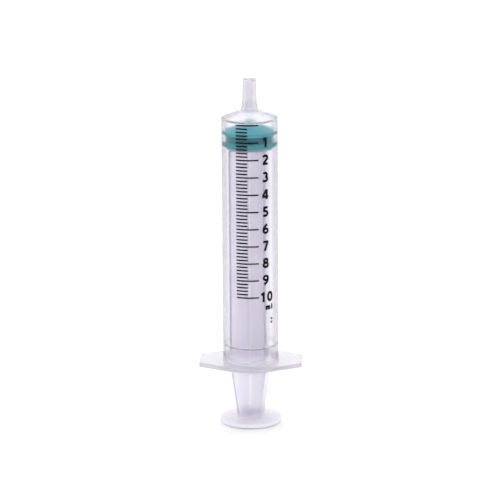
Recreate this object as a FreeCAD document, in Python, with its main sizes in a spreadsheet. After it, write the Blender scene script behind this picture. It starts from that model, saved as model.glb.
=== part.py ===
import FreeCAD, Part
import math
import os
import Sketcher

# A 10 ml disposable syringe with a plain slip nozzle, standing nozzle up on its thumb disc.
# The origin is the centre of the thumb disc's underside, +Z runs up the axis to the nozzle,
# X runs along the finger flange and the printed scale faces -Y. All sizes are millimetres.
# It comes apart into a clear moulded barrel, a cross-ribbed plunger rod and a rubber stopper
# that snaps over the rod's head. The scale is a film of ink on the barrel.

SIZES = [
    ("bore_diameter", 15.4, "inside of the barrel, which the stopper seals against"),
    ("barrel_wall", 0.9, "wall of the barrel and of its conical shoulder"),
    ("barrel_length", 77.8, "open end to the outer edge of the shoulder"),
    ("shoulder_angle", 21.5, "slope of the shoulder from level, in degrees"),
    ("shoulder_round", 0.6, "round on the shoulder's outer edge"),
    ("collar_diameter", 5.4, "collar at the foot of the nozzle"),
    ("collar_height", 0.5, "straight side of the collar"),
    ("collar_flare", 1.4, "height over which the collar narrows to the nozzle"),
    ("collar_round", 0.3, "fillet between the shoulder and the collar"),
    ("nozzle_length", 7.6, "tapered length that enters a needle hub"),
    ("nozzle_tip_diameter", 4.0, "nozzle across its tip"),
    ("nozzle_taper", 0.06, "gain in diameter for each millimetre of nozzle"),
    ("nozzle_bore", 2.0, "fluid way through the nozzle"),
    ("nozzle_edge_round", 0.25, "round on the outer edge of the tip"),
    ("flange_width", 31.8, "finger flange from tip to tip"),
    ("flange_thickness", 1.4, "finger flange"),
    ("flange_middle_radius", 11.8, "round middle of the flange's outline"),
    ("flange_side_angle", 27.5, "turn of the flange's straight sides from X, in degrees"),
    ("flange_corner_round", 1.5, "round of the four corners in plan"),
    ("flange_edge_round", 0.35, "round along the flange's upper and lower edges"),
    ("flange_root_round", 0.5, "fillet between the flange and the barrel"),
    ("mouth_round", 0.3, "round on the inner edge of the open end"),
    ("bead_from_mouth", 6.7, "open end to the middle of the retaining bead"),
    ("bead_rise", 0.25, "how far the bead stands out from the bore"),
    ("bead_radius", 0.45, "section radius of the bead"),
    ("thumb_diameter", 19.1, "thumb disc"),
    ("thumb_thickness", 1.2, "thumb disc"),
    ("thumb_edge_round", 0.35, "round on the thumb disc's edges"),
    ("rest_gap", 17.2, "thumb disc to finger flange with the plunger as photographed"),
    ("rib_length", 85.6, "thumb disc to the front disc"),
    ("rib_clearance", 0.4, "outer edges of the ribs to the bore, more than the bead's rise"),
    ("rib_tip_thickness", 1.0, "rib at its outer edge"),
    ("rib_root_thickness", 1.4, "rib where the four meet"),
    ("rib_root_round", 0.5, "fillet in the four inner corners of the cross"),
    ("rib_foot_span", 9.4, "across the ribs where they stand on the thumb disc"),
    ("rib_foot_round", 0.3, "fillet between the ribs and the thumb disc"),
    ("rib_taper_length", 16.2, "height over which the ribs widen from the thumb disc"),
    ("rib_turn", 38.0, "turn of the cross about the axis from X, in degrees"),
    ("front_disc_clearance", 0.5, "edge of the disc that backs the stopper to the bore"),
    ("front_disc_thickness", 0.8, "disc that backs the stopper"),
    ("neck_diameter", 6.4, "neck between the front disc and the snap head"),
    ("neck_length", 1.4, "neck between the front disc and the snap head"),
    ("head_diameter", 9.6, "snap head inside the stopper"),
    ("head_rim_height", 1.1, "straight rim of the snap head"),
    ("head_nose_height", 1.2, "cone on the snap head"),
    ("head_nose_diameter", 5.0, "flat end of the snap head"),
    ("head_round", 0.15, "round on the front edge of the front disc and on the snap head"),
    ("stopper_clearance", 0.04, "radial running clearance of the sealing rings in the bore"),
    ("head_clearance", 0.06, "gap round the snap head inside the stopper"),
    ("rear_ring_height", 1.6, "rear sealing ring"),
    ("groove_height", 2.0, "groove between the rings"),
    ("groove_depth", 0.45, "groove between the rings"),
    ("front_ring_height", 1.1, "front sealing ring"),
    ("ring_round", 0.25, "round on the edges of the sealing rings"),
    ("cone_flat_diameter", 1.0, "flat at the point of the stopper's cone"),
    ("end_clearance", 0.3, "stopper to shoulder with the plunger fully in"),
    ("ink_thickness", 0.04, "film of ink that stands on the barrel"),
    ("tick_height", 0.45, "printed line, measured along the axis"),
    ("short_tick", 3.6, "length of a 0.2 ml line round the barrel"),
    ("long_tick", 7.0, "length of a 1 ml line round the barrel"),
    ("tick_start", 4.05, "left end of every line, round the barrel from its front"),
]

CUBIC_MM_PER_ML = 1000
# The printed scale reads this many ml, with this many lines in each
SCALE_ML = 10
LINES_PER_ML = 5
# Cuts run past the solid by this much
CUT_OVERRUN = 1.0
# Places nearer than this are the same
SAME = 1e-4
# The printed side faces -Y, at this angle about the axis from X
FRONT_DIRECTION = 270

# Expressions that more than one piece shares
BORE_RADIUS = "sizes.bore_diameter / 2"
BARREL_RADIUS = f"({BORE_RADIUS} + sizes.barrel_wall)"
SLOPE = "tan(sizes.shoulder_angle)"
MOUTH_Z = "(sizes.thumb_thickness + sizes.rest_gap)"
SHOULDER_Z = f"({MOUTH_Z} + sizes.barrel_length)"
INNER_SHOULDER_Z = (
    f"({SHOULDER_Z} + sizes.barrel_wall * {SLOPE} - sizes.barrel_wall / cos(sizes.shoulder_angle))"
)
FRONT_DISC_Z = "(sizes.thumb_thickness + sizes.rib_length)"
SEAT_Z = f"({FRONT_DISC_Z} + sizes.front_disc_thickness)"
RING_RADIUS = f"({BORE_RADIUS} - sizes.stopper_clearance)"
RIB_REACH = f"({BORE_RADIUS} - sizes.rib_clearance)"
ZERO_Z = f"({INNER_SHOULDER_Z} - sizes.end_clearance)"
ML_HEIGHT = f"({CUBIC_MM_PER_ML} / (pi * ({BORE_RADIUS}) ^ 2))"

doc = FreeCAD.newDocument("slip_syringe")


def write_sizes():
    """Puts each driving size in its own cell, with its note beside it."""
    sheet = doc.addObject("Spreadsheet::Sheet", "sizes")
    for row, (alias, value, note) in enumerate(SIZES, start=1):
        sheet.set(f"A{row}", note)
        sheet.set(f"B{row}", str(value))
        sheet.setAlias(f"B{row}", alias)
    doc.recompute()
    return sheet


sheet = write_sizes()


def number(expression):
    """The present value of an expression, for a shape's first guess or a search among edges."""
    found = sheet.evalExpression(expression.replace("sizes.", ""))
    return float(getattr(found, "Value", found))


def new_body(name):
    body = doc.addObject("PartDesign::Body", name)
    body.Label = name
    return body


def origin_feature(body, role):
    return next(feature for feature in body.Origin.OriginFeatures if feature.Role == role)


def new_sketch(body, name, role, height=None):
    """A sketch on one of the body's own origin planes, lifted by an expression if one is given."""
    sketch = body.newObject("Sketcher::SketchObject", name)
    sketch.AttachmentSupport = [(origin_feature(body, role), "")]
    sketch.MapMode = "FlatFace"
    if height:
        sketch.setExpression("AttachmentOffset.Base.z", height)
    return sketch


def hold_point(sketch, line, end, name, across, along):
    """Binds one end of a line to its two distances from the sketch's origin."""
    for kind, axis, suffix, expression in (
        ("DistanceX", -2, "across", across),
        ("DistanceY", -1, "along", along),
    ):
        if expression == "0":
            sketch.addConstraint(Sketcher.Constraint("PointOnObject", line, end, axis))
            continue
        constraint = Sketcher.Constraint(kind, -1, 1, line, end, number(expression))
        index = sketch.addConstraint(constraint)
        sketch.renameConstraint(index, f"{name}_{suffix}")
        sketch.setExpression(f"Constraints.{name}_{suffix}", expression)


def draw_outline(sketch, corners):
    """A closed loop of straight lines through named corners, each bound to the sizes."""
    places = [FreeCAD.Vector(number(across), number(along), 0) for _, across, along in corners]
    count = len(corners)
    for index in range(count):
        sketch.addGeometry(Part.LineSegment(places[index], places[(index + 1) % count]), False)
    for index in range(count):
        sketch.addConstraint(Sketcher.Constraint("Coincident", index, 2, (index + 1) % count, 1))
    for index, (name, across, along) in enumerate(corners):
        hold_point(sketch, index, 1, name, across, along)
    doc.recompute()


def revolve(body, kind, name, corners):
    """Turns an outline in the XZ plane about the axis, to add or to cut."""
    sketch = new_sketch(body, f"{name}_outline", "XZ_Plane")
    draw_outline(sketch, corners)
    feature = body.newObject(kind, name)
    feature.Profile = sketch
    feature.ReferenceAxis = (sketch, ["V_Axis"])
    feature.Angle = 360
    doc.recompute()
    return feature


def pad(body, name, sketch, length):
    feature = body.newObject("PartDesign::Pad", name)
    feature.Profile = sketch
    feature.setExpression("Length", length)
    doc.recompute()
    return feature


def fillet(body, name, radius, wanted):
    """Rounds every edge of the body so far that the test accepts."""
    base = body.Tip
    edges = [f"Edge{i}" for i, edge in enumerate(base.Shape.Edges, start=1) if wanted(edge)]
    if not edges:
        raise RuntimeError(f"{name} found no edge")
    feature = body.newObject("PartDesign::Fillet", name)
    feature.Base = (base, edges)
    feature.setExpression("Radius", f"sizes.{radius}")
    doc.recompute()
    return feature


def ring_edge(edge, radius, height):
    """True for an edge of a circle about the axis with this radius and height."""
    curve = edge.Curve
    if not isinstance(curve, Part.Circle):
        return False
    centre = curve.Center
    on_axis = math.hypot(centre.x, centre.y) < SAME
    return on_axis and abs(curve.Radius - number(radius)) < SAME and abs(centre.z - number(height)) < SAME


def flat_edge(edge, height):
    """True for an edge that lies level at this height."""
    box = edge.BoundBox
    return abs(box.ZMin - number(height)) < SAME and abs(box.ZMax - number(height)) < SAME


def draw_flange(sketch):
    """The flange in plan: a round middle, straight sides that close in, straight ends, round corners.

    The outline is two arcs about the axis and six lines, with each side tangent to its arc.
    """
    middle = number("sizes.flange_middle_radius")
    turn = math.radians(number("sizes.flange_side_angle"))
    half = number("sizes.flange_width / 2")
    tangent_x = middle * math.sin(turn)
    tangent_y = middle * math.cos(turn)
    corner_y = tangent_y - (half - tangent_x) * math.tan(turn)
    corners = [
        FreeCAD.Vector(-tangent_x, tangent_y, 0),
        FreeCAD.Vector(-half, corner_y, 0),
        FreeCAD.Vector(-half, -corner_y, 0),
        FreeCAD.Vector(-tangent_x, -tangent_y, 0),
        FreeCAD.Vector(tangent_x, -tangent_y, 0),
        FreeCAD.Vector(half, -corner_y, 0),
        FreeCAD.Vector(half, corner_y, 0),
        FreeCAD.Vector(tangent_x, tangent_y, 0),
    ]
    circle = Part.Circle(FreeCAD.Vector(0, 0, 0), FreeCAD.Vector(0, 0, 1), middle)
    quarter = math.pi / 2
    lower = Part.ArcOfCircle(circle, 3 * quarter - turn, 3 * quarter + turn)
    upper = Part.ArcOfCircle(circle, quarter - turn, quarter + turn)
    pieces = [
        Part.LineSegment(corners[0], corners[1]),
        Part.LineSegment(corners[1], corners[2]),
        Part.LineSegment(corners[2], corners[3]),
        lower,
        Part.LineSegment(corners[4], corners[5]),
        Part.LineSegment(corners[5], corners[6]),
        Part.LineSegment(corners[6], corners[7]),
        upper,
    ]
    sketch.addGeometry(pieces, False)
    rule = Sketcher.Constraint
    sketch.addConstraint(
        [
            rule("Coincident", 0, 2, 1, 1),
            rule("Coincident", 1, 2, 2, 1),
            rule("Tangent", 2, 2, 3, 1),
            rule("Tangent", 3, 2, 4, 1),
            rule("Coincident", 4, 2, 5, 1),
            rule("Coincident", 5, 2, 6, 1),
            rule("Tangent", 6, 2, 7, 1),
            rule("Tangent", 7, 2, 0, 1),
            rule("Coincident", 3, 3, -1, 1),
            rule("Coincident", 7, 3, -1, 1),
            rule("Symmetric", 1, 1, 1, 2, -1),
            rule("Symmetric", 5, 1, 5, 2, -1),
            rule("Equal", 3, 7),
        ]
    )
    end_reach = (
        "sizes.flange_middle_radius / cos(sizes.flange_side_angle)"
        " - sizes.flange_width / 2 * tan(sizes.flange_side_angle)"
    )
    bound = (
        ("middle", rule("Radius", 3, middle), "sizes.flange_middle_radius"),
        ("left", rule("DistanceX", 1, 1, -1, 1, half), "sizes.flange_width / 2"),
        ("right", rule("DistanceX", -1, 1, 5, 1, half), "sizes.flange_width / 2"),
        ("left_end", rule("DistanceY", -1, 1, 1, 1, corner_y), end_reach),
        ("right_end", rule("DistanceY", -1, 1, 5, 2, corner_y), end_reach),
    )
    for name, constraint, expression in bound:
        index = sketch.addConstraint(constraint)
        sketch.renameConstraint(index, name)
        sketch.setExpression(f"Constraints.{name}", expression)
    doc.recompute()


def make_barrel():
    """One clear moulding: finger flange, tube, shoulder and nozzle, with a retaining bead inside."""
    body = new_body("barrel")
    plan = new_sketch(body, "flange_plan", "XY_Plane", MOUTH_Z)
    draw_flange(plan)
    pad(body, "finger_flange", plan, "sizes.flange_thickness")

    half = number("sizes.flange_width / 2")

    def at_corner(edge):
        box = edge.BoundBox
        upright = box.XLength < SAME and box.YLength < SAME
        return upright and abs(abs(box.XMin) - half) < SAME

    fillet(body, "flange_corners", "flange_corner_round", at_corner)
    top = f"{MOUTH_Z} + sizes.flange_thickness"
    fillet(
        body,
        "flange_edges",
        "flange_edge_round",
        lambda edge: flat_edge(edge, MOUTH_Z) or flat_edge(edge, top),
    )

    collar = "sizes.collar_diameter / 2"
    collar_z = f"({SHOULDER_Z} + ({BARREL_RADIUS} - {collar}) * {SLOPE})"
    flare_z = f"({collar_z} + sizes.collar_height)"
    nozzle_z = f"({flare_z} + sizes.collar_flare)"
    tip_z = f"({nozzle_z} + sizes.nozzle_length)"
    tip = "sizes.nozzle_tip_diameter / 2"
    foot = f"{tip} + sizes.nozzle_taper * sizes.nozzle_length / 2"
    revolve(
        body,
        "PartDesign::Revolution",
        "outer_form",
        [
            ("mouth_middle", "0", MOUTH_Z),
            ("mouth_edge", BARREL_RADIUS, MOUTH_Z),
            ("shoulder", BARREL_RADIUS, SHOULDER_Z),
            ("collar_foot", collar, collar_z),
            ("collar_top", collar, flare_z),
            ("nozzle_foot", foot, nozzle_z),
            ("tip_edge", tip, tip_z),
            ("tip_middle", "0", tip_z),
        ],
    )
    fillet(body, "flange_root", "flange_root_round", lambda edge: ring_edge(edge, BARREL_RADIUS, top))
    fillet(body, "shoulder_edge", "shoulder_round", lambda edge: ring_edge(edge, BARREL_RADIUS, SHOULDER_Z))
    fillet(body, "collar_fillet", "collar_round", lambda edge: ring_edge(edge, collar, collar_z))
    fillet(body, "tip_round", "nozzle_edge_round", lambda edge: ring_edge(edge, tip, tip_z))

    way = "sizes.nozzle_bore / 2"
    way_z = f"({INNER_SHOULDER_Z} + ({BORE_RADIUS} - {way}) * {SLOPE})"
    revolve(
        body,
        "PartDesign::Groove",
        "bore",
        [
            ("below", "0", f"{MOUTH_Z} - {CUT_OVERRUN}"),
            ("below_edge", BORE_RADIUS, f"{MOUTH_Z} - {CUT_OVERRUN}"),
            ("inner_shoulder", BORE_RADIUS, INNER_SHOULDER_Z),
            ("fluid_way", way, way_z),
            ("above_edge", way, f"{tip_z} + {CUT_OVERRUN}"),
            ("above", "0", f"{tip_z} + {CUT_OVERRUN}"),
        ],
    )
    fillet(body, "mouth_edge", "mouth_round", lambda edge: ring_edge(edge, BORE_RADIUS, MOUTH_Z))

    bead = body.newObject("PartDesign::AdditiveTorus", "retaining_bead")
    bead.setExpression("Radius1", f"{BORE_RADIUS} - sizes.bead_rise + sizes.bead_radius")
    bead.setExpression("Radius2", "sizes.bead_radius")
    bead.AttachmentSupport = [(origin_feature(body, "XY_Plane"), "")]
    bead.MapMode = "FlatFace"
    bead.setExpression("AttachmentOffset.Base.z", f"{MOUTH_Z} + sizes.bead_from_mouth")
    doc.recompute()
    return body


def make_plunger_rod():
    """One moulding: thumb disc, cross of drafted ribs, front disc and the snap head on its neck."""
    body = new_body("plunger_rod")
    cross = new_sketch(body, "cross_section", "XY_Plane", "sizes.thumb_thickness")
    reach = f"({RIB_REACH} + {CUT_OVERRUN})"
    tip = "sizes.rib_tip_thickness / 2"
    root = "sizes.rib_root_thickness / 2"
    draw_outline(
        cross,
        [
            ("root_a", root, root),
            ("tip_a", tip, reach),
            ("tip_b", f"-{tip}", reach),
            ("root_b", f"-{root}", root),
            ("tip_c", f"-{reach}", tip),
            ("tip_d", f"-{reach}", f"-{tip}"),
            ("root_c", f"-{root}", f"-{root}"),
            ("tip_e", f"-{tip}", f"-{reach}"),
            ("tip_f", tip, f"-{reach}"),
            ("root_d", root, f"-{root}"),
            ("tip_g", reach, f"-{tip}"),
            ("tip_h", reach, tip),
        ],
    )
    pad(body, "cross_ribs", cross, "sizes.rib_length")

    root_place = number(root)

    def at_root(edge):
        box = edge.BoundBox
        upright = box.XLength < SAME and box.YLength < SAME
        return upright and abs(abs(box.XMin) - root_place) < SAME and abs(abs(box.YMin) - root_place) < SAME

    fillet(body, "rib_roots", "rib_root_round", at_root)
    outside = f"({RIB_REACH} + {2 * CUT_OVERRUN})"
    revolve(
        body,
        "PartDesign::Groove",
        "rib_edges",
        [
            ("foot", "sizes.rib_foot_span / 2", "sizes.thumb_thickness"),
            ("outer_foot", outside, "sizes.thumb_thickness"),
            ("outer_top", outside, f"{FRONT_DISC_Z} + {CUT_OVERRUN}"),
            ("top", RIB_REACH, f"{FRONT_DISC_Z} + {CUT_OVERRUN}"),
            ("taper_top", RIB_REACH, "sizes.thumb_thickness + sizes.rib_taper_length"),
        ],
    )
    thumb = "sizes.thumb_diameter / 2"
    revolve(
        body,
        "PartDesign::Revolution",
        "thumb_disc",
        [
            ("under_middle", "0", "0"),
            ("under_edge", thumb, "0"),
            ("upper_edge", thumb, "sizes.thumb_thickness"),
            ("upper_middle", "0", "sizes.thumb_thickness"),
        ],
    )

    def at_foot(edge):
        level = flat_edge(edge, "sizes.thumb_thickness")
        return level and not ring_edge(edge, thumb, "sizes.thumb_thickness")

    fillet(body, "rib_feet", "rib_foot_round", at_foot)
    fillet(
        body,
        "thumb_edges",
        "thumb_edge_round",
        lambda edge: ring_edge(edge, thumb, "0") or ring_edge(edge, thumb, "sizes.thumb_thickness"),
    )
    disc = f"({BORE_RADIUS} - sizes.front_disc_clearance)"
    neck = "sizes.neck_diameter / 2"
    head = "sizes.head_diameter / 2"
    head_z = f"({SEAT_Z} + sizes.neck_length)"
    rim_z = f"({head_z} + sizes.head_rim_height)"
    nose_z = f"({rim_z} + sizes.head_nose_height)"
    revolve(
        body,
        "PartDesign::Revolution",
        "front_disc_and_head",
        [
            ("disc_middle", "0", FRONT_DISC_Z),
            ("disc_rear", disc, FRONT_DISC_Z),
            ("disc_front", disc, SEAT_Z),
            ("neck_rear", neck, SEAT_Z),
            ("neck_front", neck, head_z),
            ("head_rear", head, head_z),
            ("head_rim", head, rim_z),
            ("nose_edge", "sizes.head_nose_diameter / 2", nose_z),
            ("nose_middle", "0", nose_z),
        ],
    )

    def at_head(edge):
        places = ((disc, SEAT_Z), (head, head_z), (head, rim_z))
        return any(ring_edge(edge, radius, height) for radius, height in places)

    fillet(body, "head_edges", "head_round", at_head)
    body.Placement = FreeCAD.Placement(FreeCAD.Vector(0, 0, 0), FreeCAD.Rotation(FreeCAD.Vector(0, 0, 1), 1))
    body.setExpression("Placement.Rotation.Angle", "sizes.rib_turn")
    doc.recompute()
    return body


def make_stopper():
    """Moulded rubber: a cone as steep as the barrel's shoulder, two sealing rings and a snap pocket."""
    body = new_body("stopper")
    groove = f"({RING_RADIUS} - sizes.groove_depth)"
    rear_z = f"({SEAT_Z} + sizes.rear_ring_height)"
    groove_z = f"({rear_z} + sizes.groove_height)"
    front_z = f"({groove_z} + sizes.front_ring_height)"
    point = "sizes.cone_flat_diameter / 2"
    point_z = f"({front_z} + ({RING_RADIUS} - {point}) * {SLOPE})"
    mouth = "(sizes.neck_diameter / 2 + sizes.head_clearance)"
    pocket = "(sizes.head_diameter / 2 + sizes.head_clearance)"
    lip_z = f"({SEAT_Z} + sizes.neck_length - sizes.head_clearance)"
    rim_z = f"({SEAT_Z} + sizes.neck_length + sizes.head_rim_height + sizes.head_clearance)"
    nose = "(sizes.head_nose_diameter / 2 + sizes.head_clearance)"
    revolve(
        body,
        "PartDesign::Revolution",
        "rubber",
        [
            ("mouth_edge", mouth, SEAT_Z),
            ("rear_edge", RING_RADIUS, SEAT_Z),
            ("rear_ring_front", RING_RADIUS, rear_z),
            ("groove_rear", groove, rear_z),
            ("groove_front", groove, groove_z),
            ("front_ring_rear", RING_RADIUS, groove_z),
            ("cone_edge", RING_RADIUS, front_z),
            ("point_edge", point, point_z),
            ("point_middle", "0", point_z),
            ("pocket_middle", "0", f"{rim_z} + sizes.head_nose_height"),
            ("pocket_nose", nose, f"{rim_z} + sizes.head_nose_height"),
            ("pocket_rim", pocket, rim_z),
            ("pocket_lip", pocket, lip_z),
            ("mouth_lip", mouth, lip_z),
        ],
    )

    def sealing_edge(edge):
        heights = (SEAT_Z, rear_z, groove_z, front_z)
        return any(ring_edge(edge, RING_RADIUS, height) for height in heights)

    fillet(body, "sealing_edges", "ring_round", sealing_edge)
    return body


def make_tick(body, name, length, spacing, count):
    """A line of ink that wraps the barrel, repeated down the scale from its zero."""
    sketch = new_sketch(body, f"{name}_section", "XZ_Plane")
    inner = BARREL_RADIUS
    outer = f"({BARREL_RADIUS} + sizes.ink_thickness)"
    low = f"{ZERO_Z} - sizes.tick_height / 2"
    high = f"{ZERO_Z} + sizes.tick_height / 2"
    draw_outline(
        sketch,
        [
            ("inner_low", inner, low),
            ("outer_low", outer, low),
            ("outer_high", outer, high),
            ("inner_high", inner, high),
        ],
    )
    line = body.newObject("PartDesign::Revolution", name)
    line.Profile = sketch
    line.ReferenceAxis = (sketch, ["V_Axis"])
    line.setExpression("Angle", f"{length} / {BARREL_RADIUS} * 180 / pi")
    doc.recompute()
    row = body.newObject("PartDesign::LinearPattern", f"{name}_row")
    row.Originals = [line]
    row.Direction = (origin_feature(body, "Z_Axis"), [""])
    row.Reversed = True
    row.Occurrences = count
    row.setExpression("Length", f"{count - 1} * {spacing}")
    body.Tip = row
    doc.recompute()
    return row


def make_printed_scale():
    """The scale's lines: one at each 0.2 ml, and a longer one over it at each whole ml."""
    body = new_body("printed_scale")
    body.AllowCompound = True
    make_tick(
        body,
        "short_line",
        "sizes.short_tick",
        f"{ML_HEIGHT} / {LINES_PER_ML}",
        SCALE_ML * LINES_PER_ML + 1,
    )
    make_tick(body, "long_line", "sizes.long_tick", ML_HEIGHT, SCALE_ML + 1)
    start = f"{FRONT_DIRECTION} - sizes.tick_start / {BARREL_RADIUS} * 180 / pi"
    body.Placement = FreeCAD.Placement(FreeCAD.Vector(0, 0, 0), FreeCAD.Rotation(FreeCAD.Vector(0, 0, 1), 1))
    body.setExpression("Placement.Rotation.Angle", start)
    doc.recompute()
    return body


def check_and_write(pieces):
    """Refuses a failed feature or a broken shape, then writes one STEP file for each piece."""
    for item in doc.Objects:
        if "Invalid" in item.State or "Error" in item.State:
            raise RuntimeError(f"{item.Name} failed: {item.State}")
    for piece, solids in pieces:
        shape = piece.Shape
        if shape.isNull() or not shape.isValid():
            raise RuntimeError(f"{piece.Label} has no valid shape")
        if len(shape.Solids) != solids:
            raise RuntimeError(f"{piece.Label} has {len(shape.Solids)} solids and needs {solids}")
    os.makedirs("parts", exist_ok=True)
    for piece, solids in pieces:
        shape = piece.Shape
        shape.exportStep(f"parts/{piece.Label}.step")
        box = shape.optimalBoundingBox(False)
        print(
            f"{piece.Label}: {solids} solid(s), {shape.Volume:.3f} cubic mm, "
            f"X {box.XMin:.3f} to {box.XMax:.3f}, Y {box.YMin:.3f} to {box.YMax:.3f}, "
            f"Z {box.ZMin:.3f} to {box.ZMax:.3f}"
        )


check_and_write(
    [
        (make_barrel(), 1),
        (make_printed_scale(), SCALE_ML * LINES_PER_ML + 1),
        (make_plunger_rod(), 1),
        (make_stopper(), 1),
    ]
)
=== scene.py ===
"""A disposable slip syringe, dressed from its solids: clear barrel, cross-ribbed plunger and stopper.

Run as a script it builds the moulded pieces, prints the scale's numbers and sets up the studio.
All lengths are metres. +Z runs up the syringe to the nozzle and the scale faces -Y.
"""

import math

import bpy
import numpy as np
from bpy.props import FloatProperty, FloatVectorProperty, IntProperty, PointerProperty
from mathutils import Euler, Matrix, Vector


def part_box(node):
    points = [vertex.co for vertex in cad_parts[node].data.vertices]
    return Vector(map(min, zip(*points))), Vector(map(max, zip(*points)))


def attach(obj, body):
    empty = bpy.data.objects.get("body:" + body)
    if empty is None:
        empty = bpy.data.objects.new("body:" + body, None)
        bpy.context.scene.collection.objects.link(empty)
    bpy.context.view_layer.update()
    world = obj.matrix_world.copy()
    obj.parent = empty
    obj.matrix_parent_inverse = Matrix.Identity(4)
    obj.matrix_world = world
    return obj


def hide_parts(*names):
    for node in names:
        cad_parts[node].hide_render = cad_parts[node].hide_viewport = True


bl_info = {
    "name": "Slip Syringe Dressing",
    "version": (1, 0, 0),
    "blender": (4, 5, 0),
    "location": "3D View > Sidebar > Syringe",
    "description": "Builds the looks of a disposable slip syringe around its solids",
    "category": "Add Mesh",
}

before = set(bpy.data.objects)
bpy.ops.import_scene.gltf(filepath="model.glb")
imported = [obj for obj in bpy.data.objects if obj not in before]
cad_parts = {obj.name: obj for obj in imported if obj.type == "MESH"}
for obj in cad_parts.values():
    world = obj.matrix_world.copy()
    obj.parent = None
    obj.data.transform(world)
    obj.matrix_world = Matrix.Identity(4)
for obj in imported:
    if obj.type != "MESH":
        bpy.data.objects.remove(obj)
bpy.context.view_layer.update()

MM = 0.001
# Columns round every turned piece, a multiple of four so that the flange's quarters match
COLUMNS = 288
# Steps in each rounded corner of a profile
ARC_STEPS = 6

# The open end of the barrel and the rear face of the stopper, from the solids
BARREL_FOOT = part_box("barrel")[0].z
STOPPER_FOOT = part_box("stopper")[0].z

# Round left by the mould in the small corners of the rod and the stopper
FINE_CREASE = 0.1 * MM
# How far the ribs draw in under the front disc, and over what height
RIB_TUCK = 0.2 * MM
RIB_TUCK_HEIGHT = 0.4 * MM
# Steps in which a printed stroke follows its path
STROKE_STEP = 0.15 * MM
# Thin ink against thick ink: how much brighter, and the haze added
THIN_INK_GAIN = 1.8
THIN_INK_HAZE = 0.001
# The sky turns from its strength before the syringe to that beyond it over these directions on Y
SKY_SPAN = (-0.2, 0.6)
# Rings of the floor about the syringe, and the points round each
FLOOR_RADII = (0.05, 0.3, 1.0, 4.0)
FLOOR_COLUMNS = 64

# Heights between which a material changes, from the first to the second
NOZZLE_CLOUDS = (94.6 * MM, 98.6 * MM)
FLANGE_CLOUDS = (23 * MM, 19.9 * MM)
SPOUT_OUTLINE = (98 * MM, 99.5 * MM)
# The rod's end below the flange takes painted shade between these heights
ROD_END_SHADE = (25 * MM, 17 * MM)
THUMB_DISC_TOP = (1.1 * MM, 4 * MM)
FRONT_DISC_FOOT = (86.3 * MM, 86.8 * MM)
FRONT_RING_FOOT = (91.5 * MM, 91.1 * MM)
REAR_RING_TOP = (90 * MM, 89 * MM)
# Distances from the axis between which the painted shade in the stopper's groove starts
GROOVE_DEPTHS = (7.6 * MM, 7.3 * MM)
# How deep into the bead its painted grey line starts and is full, and over what height
BEAD_SHADE_DEPTHS = (0.01 * MM, 0.05 * MM)
BEAD_SHADE_HEIGHT = 0.12 * MM


def linear(hex_colour):
    """The linear colour of an sRGB hex code, by the sRGB curve."""
    code = hex_colour.lstrip("#")
    srgb = np.array([int(code[i : i + 2], 16) for i in (0, 2, 4)]) / 255
    light = np.where(srgb <= 0.04045, srgb / 12.92, ((srgb + 0.055) / 1.055) ** 2.4)
    return tuple(float(v) for v in light)


def length(name, description, default):
    """A size that a user may change, given in millimetres."""
    return FloatProperty(
        name=name, description=description, default=default * MM, unit="LENGTH", precision=5
    )


def angle(name, description, default):
    """An angle that a user may change, given in degrees."""
    return FloatProperty(
        name=name, description=description, default=math.radians(default), subtype="ANGLE"
    )


def colour(name, description, default):
    """A colour that a user may change, given as an sRGB hex code."""
    return FloatVectorProperty(
        name=name,
        description=description,
        default=linear(default),
        subtype="COLOR",
        size=3,
        min=0,
        max=1,
    )


class BarrelSizes(bpy.types.PropertyGroup):
    """Sizes of the clear moulding: tube, shoulder, nozzle and finger flange."""

    bore_radius: length("Bore radius", "Inside of the tube", 7.7)
    wall: length("Wall", "Wall of the tube and of the shoulder", 0.9)
    tube_length: length("Tube length", "Open end to the outer edge of the shoulder", 77.8)
    shoulder_slope: angle("Shoulder slope", "Slope of the shoulder from level", 21.5)
    shoulder_round: length("Shoulder round", "Round of the shoulder's outer edge", 0.6)
    collar_radius: length("Collar radius", "Collar at the foot of the nozzle", 2.7)
    collar_height: length("Collar height", "Straight side of the collar", 0.5)
    collar_flare: length("Collar flare", "Height over which the collar narrows", 1.4)
    nozzle_length: length("Nozzle length", "Tapered length that enters a needle hub", 7.6)
    nozzle_foot: length("Nozzle foot", "Radius of the nozzle above its collar", 2.228)
    nozzle_tip: length("Nozzle tip", "Radius of the nozzle at its tip", 2.0)
    nozzle_bore: length("Nozzle bore", "Radius of the fluid way", 1.0)
    nozzle_round: length("Nozzle round", "Round of the tip's outer edge", 0.25)
    crease: length("Crease", "Round left by the mould in every other corner", 0.12)
    flange_half: length("Flange reach", "Axis to the end of a finger flange", 15.9)
    flange_thickness: length("Flange thickness", "Thickness of the finger flange", 1.4)
    flange_middle: length("Flange middle", "Radius of the flange's round middle", 11.8)
    flange_turn: angle("Flange side angle", "Turn of the flange's straight sides", 27.5)
    flange_corner: length("Flange corner", "Round of the corners in plan", 1.5)
    flange_edge: length("Flange edge", "Round along the upper and lower edges", 0.35)
    flange_root: length("Flange root", "Fillet between flange and tube", 0.5)
    mouth_round: length("Mouth round", "Round on the inner edge of the open end", 0.3)
    bead_height: length("Bead height", "Open end to the middle of the bead", 6.7)
    bead_rise: length("Bead rise", "How far the retaining bead stands out", 0.25)
    bead_radius: length("Bead radius", "Section radius of the bead", 0.45)


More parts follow.
